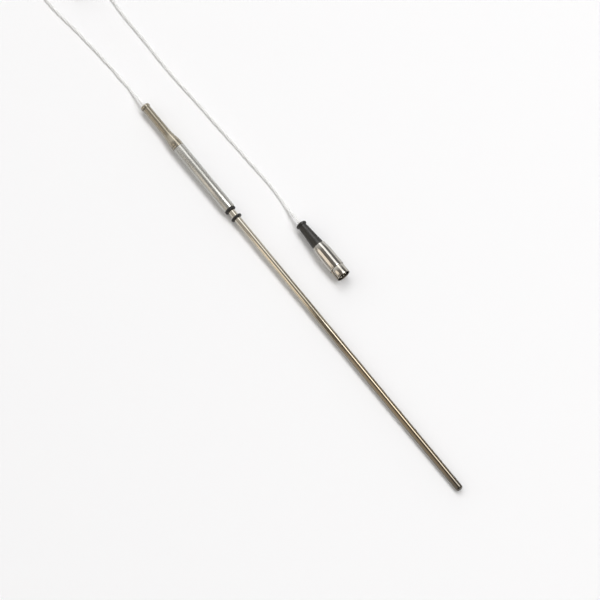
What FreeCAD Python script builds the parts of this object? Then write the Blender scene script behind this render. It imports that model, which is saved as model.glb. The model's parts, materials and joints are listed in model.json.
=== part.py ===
import FreeCAD, Part
import math
import os
from FreeCAD import Placement, Rotation, Vector

# Platinum resistance thermometer, in millimetres. It lies on the plane z = 0 with its stem along +X.
# The origin is on that plane, under the middle of the probe's length.
# Probe pieces are drawn on their own axis, with x = 0 at the handle's nose face and the tip at +x.
# Plug pieces are drawn on their own axis, with x = 0 at the mouth and the boot at -x.

# Fits, and how far a cutting shape runs past what it cuts
snug = 0.02
easy = 0.05
past = 1.0

# Stem
stem_d = 6.35
stem_wall = 0.5
stem_length = 328.0
stem_seat = 30.0
tip_cap_length = 2.0
tip_spigot_length = 3.0
tip_edge_r = 1.3

# Sensing element and its wires
packing_length = 3.0
former_length = 35.0
former_d = 3.8
former_flange = 1.5
winding_turns = 12
winding_height = 0.38
winding_core = 0.1
insulator_count = 4
seal_length = 4.0
wire_d = 0.4
wire_bore_d = 0.9
wire_circle_d = 2.9
wire_count = 4
wire_first_angle = 45.0

# Splices in the handle
splice_back = 37.0
crimp_length = 8.0
crimp_d = 1.1
crimp_bore_d = 0.7
shrink_wall = 0.25
shrink_overhang = 2.0

# Rubber rings
ring_section = 1.95
front_ring_x = 9.7

# Handle
handle_length = 122.0
handle_d = 10.8
barrel_length = 72.9
barrel_bore_d = 9.0
nose_bevel = 0.5
nose_bush_length = 14.0
potting_length = 12.0
joint_ring_length = 2.3
groove_bevel = 0.25
tail_spigot_length = 13.0
tail_bore_d = 5.2
core_room_d = 7.2
core_room_taper = 7.4
tail_d = 7.2
waist_d = 7.46
waist_taper = 12.0
tail_shoulder = 0.9
flare_convex = 4.8
flare_convex_drop = 0.43
flare_slope = 3.7
flare_slope_drop = 0.63
flare_concave = 7.4
rim_d = 8.6
rim_length = 3.0
rim_edge_r = 0.8
cap_spigot_length = 6.0
cap_bore_d = 4.0
bush_recess = 0.3
ferrule_length = 6.0
ferrule_d = 4.8

# Lead
lead_d = 2.6
core_d = 1.0
core_circle_d = 1.52
jacket_end = 104.0
core_straight = 10.0
core_spread = 32.0
exit_straight = 8.0

# Coil of the lead's spare length
coil_x = -360.6
coil_y = 31.2
coil_mean_d = 28.6
coil_columns = 5
coil_layers = 4
layer_pitch = 2.5
coil_edge = 0.76
tie_thickness = 0.5
tie_width = 4.0
tie_angle = -45.0
tie_head_length = 4.6
tie_head_width = 5.0
tie_head_height = 3.0

# Plug
plug_mouth_x = 7.2
plug_y = 40.1
shroud_d = 13.2
shroud_length = 9.5
shell_wall = 0.5
shell_rear_d = 12.8
shell_length = 26.0
shell_split = 0.1
key_angle = 65.0
key_width = 2.2
key_depth = 1.0
latch_angle = -31.5
latch_width = 1.2
latch_length = 1.0
sleeve_d = 14.2
sleeve_length = 26.0
shoulder_length = 7.5
shoulder_d = 12.3
sleeve_wall = 0.45
sleeve_edge_r = 0.2
insulator_front = 8.5
insulator_length = 8.5
pin_d = 1.45
pin_circle_d = 7.0
pin_front = 1.2
pin_length = 20.3
pin_tip_r = 0.5
pin_pitch_angle = 45.0
pin_count = 5
cup_d = 1.1
cup_depth = 3.0
boot_length = 26.5
boot_front_d = 11.0
boot_neck_d = 7.7
boot_insert = 5.5
boot_collar_d = 11.7
boot_collar_gap = 1.5
boot_collar_length = 2.0
boot_flange_d = 9.9
boot_flange_length = 3.4
boot_dome = 1.3
boot_dome_middle = 0.32
boot_face_width = 0.6
boot_flange_slope = 0.8
boot_room_d = 8.6
boot_room_length = 6.0
boot_inner_d = 4.8
boot_inner_length = 6.0
boot_mouth_d = 3.2
boot_mouth_length = 10.0
clamp_wall = 0.4
clamp_ring_length = 4.0
clamp_spread = 44.0
clamp_lap = 6.0
clamp_bend = 1.0
clamp_setback = 1.5
clamp_foot = 2.0
plug_jacket_end = 33.0
plug_core_straight = 1.5
plug_core_spread = 7.5
plug_core_in_cup = 2.2

# Places worked out from the sizes above
stem_r = stem_d / 2
bore_r = stem_r - stem_wall
handle_r = handle_d / 2
barrel_bore_r = barrel_bore_d / 2
lead_r = lead_d / 2
ring_r = ring_section / 2
cap_back_x = stem_length - tip_cap_length - tip_spigot_length
former_x1 = cap_back_x - packing_length
former_x0 = former_x1 - former_length
seal_x = -stem_seat + seal_length
joint_ring_x = -barrel_length - joint_ring_length
tail_end_x = -handle_length + rim_length
bush_front_x = tail_end_x + cap_spigot_length
crimp_x = -splice_back - crimp_length

# The probe rests on the edge of the handle's nose and the edge of its tip, nose down by this angle
rest_span = stem_length - tip_edge_r + nose_bevel
tilt = math.atan2(handle_r - stem_r, rest_span)
nose_x = handle_length - (handle_length + stem_length) / 2
nose_z = handle_r * math.cos(tilt) - nose_bevel * math.sin(tilt)
plug_z = sleeve_d / 2


def turned(points):
    """A closed profile of (x, radius) corners turned about the X axis. A corner (middle, end) is an arc."""
    edges = []
    first = at = Vector(points[0][0], 0, points[0][1])
    for entry in points[1:] + [points[0]]:
        if isinstance(entry[0], tuple):
            middle = Vector(entry[0][0], 0, entry[0][1])
            end = Vector(entry[1][0], 0, entry[1][1])
            edges.append(Part.Arc(at, middle, end).toShape())
        else:
            end = Vector(entry[0], 0, entry[1])
            if end.distanceToPoint(at) < 1e-6:
                continue
            edges.append(Part.LineSegment(at, end).toShape())
        at = end
    if at.distanceToPoint(first) > 1e-6:
        raise ValueError("the profile is open")
    face = Part.Face(Part.Wire(edges))
    return face.revolve(Vector(0, 0, 0), Vector(1, 0, 0), 360)


def corner_arc(x, r, size, side_x, side_r, outward=False):
    """A profile's rounded corner at (x, r). It comes along x and leaves along r, or the other way if outward.

    The sides say which way the material lies from the corner.
    """
    middle = size * (1 - math.sqrt(0.5))
    on_x = (x + side_x * size, r)
    on_r = (x, r + side_r * size)
    bend = (x + side_x * middle, r + side_r * middle)
    return [on_r, (bend, on_x)] if outward else [on_x, (bend, on_r)]


def easing_middle(x, r, length, rise):
    """The middle of the arc that leaves (x, r) parallel to the X axis and ends this length and rise away."""
    radius = (length**2 + rise**2) / (2 * abs(rise))
    half_turn = math.atan2(abs(length), radius - abs(rise)) / 2
    along = math.copysign(radius * math.sin(half_turn), length)
    across = math.copysign(radius * (1 - math.cos(half_turn)), rise)
    return x + along, r + across


def rod(x0, x1, radius, y=0.0, z=0.0):
    return Part.makeCylinder(radius, x1 - x0, Vector(x0, y, z), Vector(1, 0, 0))


def tube(x0, x1, outer_r, inner_r, y=0.0, z=0.0):
    return rod(x0, x1, outer_r, y, z).cut(rod(x0 - past, x1 + past, inner_r, y, z))


def polar(radius, angle):
    """The y and z of a place on a circle round the X axis, with the angle taken from +Z towards -Y."""
    return -radius * math.sin(math.radians(angle)), radius * math.cos(math.radians(angle))


def wire_place(index, circle_d):
    return polar(circle_d / 2, wire_first_angle + index * 360.0 / wire_count)


def tube_along(points, radius, label=None):
    """A round tube on straight runs joined by tangent arcs, each as large as its two runs allow."""
    points = [Vector(*p) for p in points]
    edges, radii, at = [], [], points[0]
    for before, corner, after in zip(points, points[1:], points[2:]):
        back, ahead = before - corner, after - corner
        half_turn = (math.pi - back.getAngle(ahead)) / 2
        reach = 0.45 * min(back.Length, ahead.Length)
        radii.append(reach / math.tan(half_turn))
        start = corner + back.normalize() * reach
        end = corner + ahead.normalize() * reach
        inward = (start + end) * 0.5 - corner
        depth = radii[-1] * (1 / math.cos(half_turn) - 1)
        edges.append(Part.LineSegment(at, start).toShape())
        edges.append(Part.Arc(start, corner + inward.normalize() * depth, end).toShape())
        at = end
    edges.append(Part.LineSegment(at, points[-1]).toShape())
    path = Part.Wire(edges)
    section = Part.Wire(Part.makeCircle(radius, points[0], points[1] - points[0]))
    solid = path.makePipeShell([section], True, False)
    if label:
        share = solid.Volume / (math.pi * radius**2 * path.Length)
        print(label, "length", round(path.Length, 1), "volume share", round(share, 4))
        print(label, "radii", [round(r, 1) for r in radii])
    return solid


def probe_point(x):
    """Where a place on the probe's own axis lies in the part."""
    return nose_x + x * math.cos(tilt), 0.0, nose_z - x * math.sin(tilt)


def on_probe(shape):
    return shape.transformed(
        Placement(Vector(nose_x, 0, nose_z), Rotation(Vector(0, 1, 0), math.degrees(tilt))).toMatrix()
    )


def on_plug(shape):
    return shape.transformed(Placement(Vector(plug_mouth_x, plug_y, plug_z), Rotation()).toMatrix())


# Stem


def sheath():
    return tube(-stem_seat, stem_length - tip_cap_length, stem_r, bore_r)


def tip_cap():
    joint_x = stem_length - tip_cap_length
    spigot_r = bore_r - snug
    edge = corner_arc(stem_length, stem_r, tip_edge_r, -1, -1)
    return turned([(cap_back_x, 0), (cap_back_x, spigot_r), (joint_x, spigot_r), (joint_x, stem_r)]
                  + edge + [(stem_length, 0)])


def tip_packing():
    return rod(former_x1, cap_back_x, bore_r - easy)


def sensor_former():
    former = rod(former_x0, former_x1, former_d / 2)
    for x in (former_x0, former_x1 - former_flange):
        former = former.fuse(rod(x, x + former_flange, bore_r - easy))
    return former.removeSplitter()


def sensor_winding():
    """The platinum winding: its turns stand up as ridges round the former."""
    x0 = former_x0 + former_flange + easy
    x1 = former_x1 - former_flange - easy
    pitch = (x1 - x0) / winding_turns
    inner_r = former_d / 2 + snug
    valley_r = inner_r + winding_core
    profile = [(x0, inner_r), (x0, valley_r)]
    for turn in range(winding_turns):
        profile.append((x0 + (turn + 0.5) * pitch, inner_r + winding_height))
        profile.append((x0 + (turn + 1) * pitch, valley_r))
    return turned(profile + [(x1, inner_r)])


def four_bores(shape, x0, x1, radius):
    for index in range(wire_count):
        y, z = wire_place(index, wire_circle_d)
        shape = shape.cut(rod(x0 - past, x1 + past, radius, y, z))
    return shape


def insulator(index):
    length = (former_x0 - seal_x) / insulator_count
    x0 = seal_x + index * length
    return four_bores(rod(x0, x0 + length, bore_r - easy), x0, x0 + length, wire_bore_d / 2)


def sheath_seal():
    body = rod(-stem_seat, seal_x, bore_r - snug)
    return four_bores(body, -stem_seat, seal_x, wire_d / 2 + snug)


def inner_wire(index):
    y, z = wire_place(index, wire_circle_d)
    return rod(crimp_x + crimp_length / 2, former_x0, wire_d / 2, y, z)


def o_ring(x, gap):
    centre_r = stem_r + gap + ring_r
    return Part.makeTorus(centre_r, ring_r, Vector(x, 0, 0), Vector(1, 0, 0))


# Handle


def barrel():
    return turned([
        (-barrel_length, barrel_bore_r),
        (-barrel_length, handle_r - groove_bevel),
        (-barrel_length + groove_bevel, handle_r),
        (-nose_bevel, handle_r),
        (0, handle_r - nose_bevel),
        (0, barrel_bore_r),
    ])


def nose_bush():
    return tube(-nose_bush_length, 0, barrel_bore_r - snug, stem_r + snug)


def potting():
    back_x = -nose_bush_length - potting_length
    return tube(back_x, -nose_bush_length, barrel_bore_r - snug, stem_r + snug)


def joint_ring():
    low_r = handle_r - groove_bevel
    return turned([
        (joint_ring_x, barrel_bore_r),
        (joint_ring_x, low_r),
        (joint_ring_x + groove_bevel, handle_r),
        (-barrel_length - groove_bevel, handle_r),
        (-barrel_length, low_r),
        (-barrel_length, barrel_bore_r),
    ])


def tail_cone():
    """Spigot, flare and tail tube in one turned piece: a convex shoulder, a slope and a long hollow curve."""
    spigot_r = barrel_bore_r - snug
    tail_r = tail_d / 2
    waist_r = waist_d / 2
    shoulder_x = joint_ring_x - tail_shoulder
    slope_x = shoulder_x - flare_convex
    hollow_x = slope_x - flare_slope
    waist_x = hollow_x - flare_concave
    slope_r = handle_r - flare_convex_drop
    hollow_r = slope_r - flare_slope_drop
    convex_middle = easing_middle(shoulder_x, handle_r, -flare_convex, -flare_convex_drop)
    concave_middle = easing_middle(waist_x, waist_r, flare_concave, hollow_r - waist_r)
    return turned([
        (tail_end_x, tail_bore_d / 2),
        (tail_end_x, tail_r),
        (waist_x - waist_taper, tail_r),
        (waist_x, waist_r),
        (concave_middle, (hollow_x, hollow_r)),
        (slope_x, slope_r),
        (convex_middle, (shoulder_x, handle_r)),
        (joint_ring_x - groove_bevel, handle_r),
        (joint_ring_x, handle_r - groove_bevel),
        (joint_ring_x, spigot_r),
        (joint_ring_x + tail_spigot_length, spigot_r),
        (joint_ring_x + tail_spigot_length, core_room_d / 2),
        (slope_x, core_room_d / 2),
        (slope_x - core_room_taper, tail_bore_d / 2),
    ])


def tail_cap():
    rim_r = rim_d / 2
    spigot_r = tail_bore_d / 2 - snug
    hole_r = cap_bore_d / 2
    front = corner_arc(tail_end_x, rim_r, rim_edge_r, -1, -1, outward=True)
    back = corner_arc(-handle_length, rim_r, rim_edge_r, 1, -1)
    return turned(
        [(bush_front_x, hole_r), (bush_front_x, spigot_r), (tail_end_x, spigot_r)]
        + front
        + back
        + [(-handle_length, hole_r)]
    )


def cable_bush():
    return tube(-handle_length + bush_recess, bush_front_x, cap_bore_d / 2 - snug, lead_r + easy)


def cable_ferrule():
    return tube(bush_front_x, bush_front_x + ferrule_length, ferrule_d / 2, lead_r + snug)


def splice_crimp(index):
    y, z = wire_place(index, wire_circle_d)
    return tube(crimp_x, crimp_x + crimp_length, crimp_d / 2, crimp_bore_d / 2, y, z)


def shrink_sleeve(index):
    y, z = wire_place(index, wire_circle_d)
    inner_r = crimp_d / 2 + snug
    x0 = crimp_x - shrink_overhang
    x1 = crimp_x + crimp_length + shrink_overhang
    return tube(x0, x1, inner_r + shrink_wall, inner_r, y, z)


def handle_core(index):
    """An insulated core, from the cut end of the jacket out to its crimp."""
    near = wire_place(index, core_circle_d)
    far = wire_place(index, wire_circle_d)
    bend_x = -jacket_end + core_straight
    points = [(-jacket_end, *near), (bend_x, *near), (bend_x + core_spread, *far), (crimp_x, *far)]
    return tube_along(points, core_d / 2)


# Lead, from the handle to the coil and from the coil to the plug

coil_outer_r = coil_mean_d / 2 + coil_columns * lead_d / 2
coil_inner_r = coil_mean_d / 2 - coil_columns * lead_d / 2
coil_bottom = tie_thickness + easy
coil_top = coil_bottom + lead_d + (coil_layers - 1) * layer_pitch
low_turn_z = coil_bottom + lead_r
high_turn_z = coil_top - lead_r
jacket_back = probe_point(-jacket_end)
exit_back = probe_point(-handle_length - exit_straight)
plug_back_x = plug_mouth_x - shroud_length - sleeve_length - boot_length

probe_run_points = [
    jacket_back,
    exit_back,
    (-262.0, -0.5, lead_r),
    (-290.0, -1.4, lead_r),
    (-318.0, -4.0, lead_r),
    (-345.0, -7.0, lead_r),
    (-366.0, -7.0, lead_r),
    (-380.5, 4.5, lead_r),
    (-380.6, 22.5, low_turn_z),
]

plug_run_points = [
    (-347.7, 47.5, high_turn_z),
    (-338.5, 44.4, high_turn_z - 0.8),
    (-324.5, 39.6, lead_r),
    (-304.0, 37.9, lead_r),
    (-279.0, 38.4, lead_r),
    (-253.0, 37.5, lead_r),
    (-226.0, 37.9, lead_r),
    (-199.0, 39.3, lead_r),
    (-172.0, 39.9, lead_r),
    (-149.0, 40.9, lead_r),
    (-126.0, 41.6, lead_r),
    (-100.0, 42.6, lead_r),
    (plug_back_x - exit_straight, plug_y, plug_z),
    (plug_mouth_x - plug_jacket_end, plug_y, plug_z),
]


def lead_coil():
    """The outer shape of the coil's turns: a ring with bevelled edges, drawn round X and laid flat."""
    ring = turned([
        (coil_bottom, coil_inner_r + coil_edge),
        (coil_bottom, coil_outer_r - coil_edge),
        (coil_bottom + coil_edge, coil_outer_r),
        (coil_top - coil_edge, coil_outer_r),
        (coil_top, coil_outer_r - coil_edge),
        (coil_top, coil_inner_r + coil_edge),
        (coil_top - coil_edge, coil_inner_r),
        (coil_bottom + coil_edge, coil_inner_r),
    ])
    return ring.transformed(
        Placement(Vector(coil_x, coil_y, 0), Rotation(Vector(0, 1, 0), -90)).toMatrix()
    )


def coil_tie():
    """A strap round the coil's turns, with its locking head on top."""
    inner_x = math.sqrt(coil_inner_r**2 - (tie_width / 2) ** 2) - easy
    inner_z = coil_bottom - easy
    width = coil_outer_r + easy - inner_x
    height = coil_top - coil_bottom + 2 * easy
    hole = Part.makeBox(width, tie_width + 2 * past, height, Vector(inner_x, -tie_width / 2 - past, inner_z))
    strap = Part.makeBox(width + 2 * tie_thickness, tie_width, height + 2 * tie_thickness,
                         Vector(inner_x - tie_thickness, -tie_width / 2, inner_z - tie_thickness))
    head_x = inner_x + (width - tie_head_length) / 2
    head = Part.makeBox(tie_head_length, tie_head_width, tie_head_height,
                        Vector(head_x, -tie_head_width / 2, inner_z + height))
    tie = strap.fuse(head).cut(hole).removeSplitter()
    return tie.transformed(
        Placement(Vector(coil_x, coil_y, 0), Rotation(Vector(0, 0, 1), tie_angle)).toMatrix()
    )


# Plug


def at_angle(shape, angle):
    """Turns a shape drawn at +Z round the X axis, towards -Y."""
    return shape.transformed(Placement(Vector(), Rotation(Vector(1, 0, 0), angle)).toMatrix())


def shell_body():
    """Both half-shells as one: the shroud, with a key dent pressed in along it, and a plain tube behind."""
    front_r = shroud_d / 2
    rear_r = shell_rear_d / 2
    front_x = -shroud_length
    step_x = front_x - shell_wall
    floor_r = front_r - key_depth
    dent = Part.makeBox(shroud_length + past, key_width, front_r, Vector(front_x, -key_width / 2, floor_r))
    dent_wall = Part.makeBox(shroud_length + shell_wall + 2 * past, key_width + 2 * shell_wall, front_r,
                             Vector(step_x, -key_width / 2 - shell_wall, floor_r - shell_wall))
    outside = rod(front_x, 0, front_r).cut(dent).fuse(rod(-shell_length, front_x, rear_r))
    inside = rod(step_x, past, front_r - shell_wall).cut(dent_wall)
    inside = inside.fuse(rod(-shell_length - past, step_x, rear_r - shell_wall))
    return outside.cut(inside)


def half_shell(side):
    """One half of the shell: side 1 holds the key dent, side -1 the latch tab."""
    keep = Part.makeBox(shell_length + 2 * past, shroud_d + 2 * past, shroud_d,
                        Vector(-shell_length - past, -shroud_d / 2 - past, shell_split / 2))
    if side < 0:
        keep.rotate(Vector(0, 0, 0), Vector(1, 0, 0), 180)
    return at_angle(shell_body().common(keep), key_angle)


def latch_half_shell():
    rear_r = shell_rear_d / 2
    tab = Part.makeBox(latch_length, latch_width, sleeve_d / 2 - rear_r + shell_wall,
                       Vector(-shroud_length - latch_length, -latch_width / 2, rear_r - shell_wall))
    return half_shell(-1).fuse(at_angle(tab, latch_angle)).removeSplitter()


def plug_sleeve():
    """The outer sleeve: a straight barrel, a tapered shoulder, and a notch for the latch tab."""
    front_x = -shroud_length
    back_x = front_x - sleeve_length
    taper_x = back_x + shoulder_length
    outer_r = sleeve_d / 2
    back_r = shoulder_d / 2
    front = corner_arc(front_x, outer_r, sleeve_edge_r, -1, -1)
    body = turned(
        [(back_x, back_r - sleeve_wall), (back_x, back_r), (taper_x, outer_r)]
        + front
        + [(front_x, outer_r - sleeve_wall), (taper_x, outer_r - sleeve_wall)]
    )
    notch_width = latch_width + 4 * easy
    notch_length = latch_length + 2 * easy
    notch = Part.makeBox(notch_length + past, notch_width, outer_r,
                         Vector(front_x - notch_length, -notch_width / 2, outer_r / 2))
    return body.cut(at_angle(notch, latch_angle))


def pin_place(index):
    angle = key_angle + 180.0 + (index - (pin_count - 1) / 2) * pin_pitch_angle
    return polar(pin_circle_d / 2, angle)


def plug_insulator():
    """The moulded block that holds the pins, notched in front for the back of the key dent."""
    front_x = -insulator_front
    back_x = front_x - insulator_length
    radius = shell_rear_d / 2 - shell_wall - snug
    notch_back_x = -shroud_length - shell_wall - easy
    notch_width = key_width + 2 * (shell_wall + easy)
    notch = Part.makeBox(front_x + past - notch_back_x, notch_width, radius,
                         Vector(notch_back_x, -notch_width / 2, shroud_d / 2 - key_depth - shell_wall - easy))
    body = rod(back_x, front_x, radius).cut(at_angle(notch, key_angle))
    for index in range(pin_count):
        y, z = pin_place(index)
        body = body.cut(rod(back_x - past, front_x + past, pin_d / 2 + snug, y, z))
    return body


def plug_pin(index):
    """A contact pin with a rounded tip and a solder cup at its back."""
    back_x = -pin_front - pin_length
    radius = pin_d / 2
    tip = corner_arc(-pin_front, radius, pin_tip_r, -1, -1)
    cup_x = back_x + cup_depth
    pin = turned([(cup_x, 0), (cup_x, cup_d / 2), (back_x, cup_d / 2), (back_x, radius)]
                 + tip + [(-pin_front, 0)])
    return pin.translated(Vector(0, *pin_place(index)))


def plug_boot():
    """The boot: a domed flange at the cable, a tapered neck, and a collar held inside the sleeve."""
    sleeve_x = -shroud_length - sleeve_length
    back_x = sleeve_x - boot_length
    front_x = sleeve_x + boot_insert
    flange_r = boot_flange_d / 2
    hole_r = lead_r + easy
    front_r = boot_front_d / 2
    flange_x = back_x + boot_flange_length
    dome_x = back_x + boot_dome
    mouth_r = boot_mouth_d / 2
    face_r = mouth_r + boot_face_width
    collar_x1 = front_x - boot_collar_gap
    collar_x0 = collar_x1 - boot_collar_length
    room_x = front_x - boot_room_length
    inner_x = room_x - boot_inner_length
    return turned([
        (back_x, mouth_r),
        (back_x, face_r),
        ((back_x + boot_dome_middle, (face_r + flange_r) / 2), (dome_x, flange_r)),
        (flange_x - boot_flange_slope, flange_r),
        (flange_x, boot_neck_d / 2),
        (sleeve_x, front_r),
        (collar_x0, front_r),
        (collar_x0, boot_collar_d / 2),
        (collar_x1, boot_collar_d / 2),
        (collar_x1, front_r),
        (front_x, front_r),
        (front_x, boot_room_d / 2),
        (room_x, boot_room_d / 2),
        (room_x, boot_inner_d / 2),
        (inner_x, boot_inner_d / 2),
        (inner_x, hole_r),
        (back_x + boot_mouth_length, hole_r),
    ])


def cable_clamp():
    """A strip from inside the key half-shell down to a ring crimped round the lead's jacket."""
    high_r = shell_rear_d / 2 - shell_wall - easy
    low_r = lead_r + snug
    lap_x = -shell_length + clamp_lap
    bend_x = -shell_length - clamp_bend
    ring_x1 = -plug_jacket_end - clamp_setback
    ring_x0 = ring_x1 - clamp_ring_length
    foot_x = ring_x1 + clamp_wall
    strip = [
        (lap_x, high_r - clamp_wall),
        (lap_x, high_r),
        (bend_x, high_r),
        (foot_x, low_r + clamp_wall),
        (foot_x - clamp_foot, low_r + clamp_wall),
        (foot_x - clamp_foot, low_r),
        (foot_x - clamp_wall, low_r),
        (bend_x - clamp_wall, high_r - clamp_wall),
    ]
    corners = [Vector(x, 0, r) for x, r in strip]
    face = Part.Face(Part.makePolygon(corners + corners[:1]))
    sector = face.revolve(Vector(0, 0, 0), Vector(1, 0, 0), clamp_spread)
    sector.rotate(Vector(0, 0, 0), Vector(1, 0, 0), key_angle - clamp_spread / 2)
    ring = tube(ring_x0, ring_x1, low_r + clamp_wall, low_r)
    return sector.fuse(ring).removeSplitter()


def plug_core(index):
    """A core from the cut jacket out to its pin's solder cup. The middle pin stays free."""
    near_angle = key_angle + 180.0 + (index - (wire_count - 1) / 2) * 360.0 / wire_count
    near = polar(core_circle_d / 2, near_angle)
    far = pin_place(index if index < pin_count // 2 else index + 1)
    start_x = -plug_jacket_end
    bend_x = start_x + plug_core_straight
    end_x = -pin_front - pin_length + plug_core_in_cup
    points = [(start_x, *near), (bend_x, *near), (bend_x + plug_core_spread, *far), (end_x, *far)]
    return tube_along(points, core_d / 2)


def export(name, shape):
    shape.exportStep(os.path.join("parts", name + ".step"))


def main():
    os.makedirs("parts", exist_ok=True)
    rear_ring_x = ring_r + snug
    probe = {
        "sheath": sheath(),
        "tip_cap": tip_cap(),
        "tip_packing": tip_packing(),
        "sensor_former": sensor_former(),
        "sensor_winding": sensor_winding(),
        "sheath_seal": sheath_seal(),
        "o_ring_rear": o_ring(rear_ring_x, snug),
        "o_ring_front": o_ring(front_ring_x, easy),
        "barrel": barrel(),
        "nose_bush": nose_bush(),
        "potting": potting(),
        "joint_ring": joint_ring(),
        "tail_cone": tail_cone(),
        "tail_cap": tail_cap(),
        "cable_bush": cable_bush(),
        "cable_ferrule": cable_ferrule(),
    }
    for index in range(insulator_count):
        probe[f"insulator_{index + 1}"] = insulator(index)
    for index in range(wire_count):
        probe[f"inner_wire_{index + 1}"] = inner_wire(index)
        probe[f"splice_crimp_{index + 1}"] = splice_crimp(index)
        probe[f"shrink_sleeve_{index + 1}"] = shrink_sleeve(index)
        probe[f"handle_core_{index + 1}"] = handle_core(index)
    plug = {
        "plug_sleeve": plug_sleeve(),
        "plug_shell_key": half_shell(1),
        "plug_shell_latch": latch_half_shell(),
        "plug_insulator": plug_insulator(),
        "plug_boot": plug_boot(),
        "plug_cable_clamp": cable_clamp(),
    }
    for index in range(pin_count):
        plug[f"plug_pin_{index + 1}"] = plug_pin(index)
    for index in range(wire_count):
        plug[f"plug_core_{index + 1}"] = plug_core(index)
    for name, shape in probe.items():
        export(name, on_probe(shape))
    for name, shape in plug.items():
        export(name, on_plug(shape))
    export("lead_probe_run", tube_along(probe_run_points, lead_r, "probe run"))
    export("lead_plug_run", tube_along(plug_run_points, lead_r, "plug run"))
    export("lead_coil", lead_coil())
    export("coil_tie", coil_tie())
    print("tilt", round(math.degrees(tilt), 4), "nose", round(nose_x, 3), round(nose_z, 4))


main()
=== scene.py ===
import json
import math

import bmesh
import bpy
from mathutils import Matrix, Vector


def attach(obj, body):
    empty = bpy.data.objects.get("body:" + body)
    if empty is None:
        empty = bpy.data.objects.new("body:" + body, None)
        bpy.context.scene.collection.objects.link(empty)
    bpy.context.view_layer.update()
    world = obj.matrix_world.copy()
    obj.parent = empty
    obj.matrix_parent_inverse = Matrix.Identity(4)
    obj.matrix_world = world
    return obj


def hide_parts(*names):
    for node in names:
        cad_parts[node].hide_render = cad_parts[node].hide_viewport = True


# Platinum resistance thermometer: sheath and handle, twisted lead, round instrument plug.
# Sizes and places are in millimetres, unless a comment says metres.

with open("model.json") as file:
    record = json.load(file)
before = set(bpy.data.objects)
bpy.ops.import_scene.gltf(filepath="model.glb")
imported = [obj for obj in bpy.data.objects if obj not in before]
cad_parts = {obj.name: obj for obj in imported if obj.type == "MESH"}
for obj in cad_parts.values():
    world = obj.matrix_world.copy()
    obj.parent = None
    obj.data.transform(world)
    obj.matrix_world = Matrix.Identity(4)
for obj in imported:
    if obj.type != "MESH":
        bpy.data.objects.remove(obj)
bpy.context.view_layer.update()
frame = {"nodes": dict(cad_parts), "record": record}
nodes = frame["nodes"]
MM = 0.001


# Nodes and materials

# A noise texture's values keep mostly between these two
NOISE_LOW, NOISE_HIGH = 0.3, 0.7
FINE_DETAIL = 3.0


def linear(hex_colour):
    """An sRGB hex colour as the linear RGBA that a shader takes."""
    channels = [int(hex_colour[i:i + 2], 16) / 255 for i in (0, 2, 4)]
    return [c / 12.92 if c <= 0.04045 else ((c + 0.055) / 1.055) ** 2.4 for c in channels] + [1.0]


def add(tree, kind, settings=None, links=None):
    """Adds a node. A key that is neither "stops" nor the node's own property is one of its sockets."""
    node = tree.nodes.new(kind)
    for key, value in (settings or {}).items():
        if key == "stops":
            elements = node.color_ramp.elements
            while len(elements) < len(value):
                elements.new(0.5)
            for element, (at, colour) in zip(elements, value):
                element.position = at
                element.color = linear(colour)
        elif isinstance(key, str) and hasattr(node, key):
            setattr(node, key, value)
        else:
            node.inputs[key].default_value = value
    for key, source in (links or {}).items():
        tree.links.new(source, node.inputs[key])
    return node


def span(low, high, value_low=NOISE_LOW, value_high=NOISE_HIGH):
    """Settings that carry a value, such as a noise's, over to a new range."""
    return {"From Min": value_low, "From Max": value_high, "To Min": low, "To Max": high}


def new_material(name, colour, roughness, metallic=0.0):
    """A material with one Principled BSDF. Returns the material, its tree and the shader."""
    material = bpy.data.materials.new(name)
    material.use_nodes = True
    shader = material.node_tree.nodes["Principled BSDF"]
    shader.inputs["Base Color"].default_value = linear(colour)
    shader.inputs["Roughness"].default_value = roughness
    shader.inputs["Metallic"].default_value = metallic
    return material, material.node_tree, shader


def pattern(tree, size_mm, stretch=1.0, detail=2.0):
    """Noise of a real size, drawn out along X by the stretch, or round X where the stretch is under 1."""
    place = add(tree, "ShaderNodeTexCoord").outputs["Object"]
    in_mm = add(tree, "ShaderNodeMapping", {"Scale": (1 / MM / stretch, 1 / MM, 1 / MM)}, {"Vector": place})
    noise = add(tree, "ShaderNodeTexNoise", {"Scale": 1 / size_mm, "Detail": detail},
                {"Vector": in_mm.outputs["Vector"]})
    return noise.outputs["Fac"]


SMUDGE_STRETCH = 3.0
TINT_DRIFT = 0.06
# How dark the painted shade in the grooves leaves the metal, as a share of its colour
PAINTED_SHADE_LEVEL = 0.4
# In metres. The painted shade in a groove is full up to the first distance from the groove's middle, and gone
# at the second
PAINTED_SHADE_REACH = (0.25 * MM, 0.55 * MM)
# In metres, along Y. The painted shade is full up to the first place, on the shaded side towards -Y, and gone
# at the second
PAINTED_SHADE_SIDE = (-2.6 * MM, 0.2 * MM)


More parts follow.
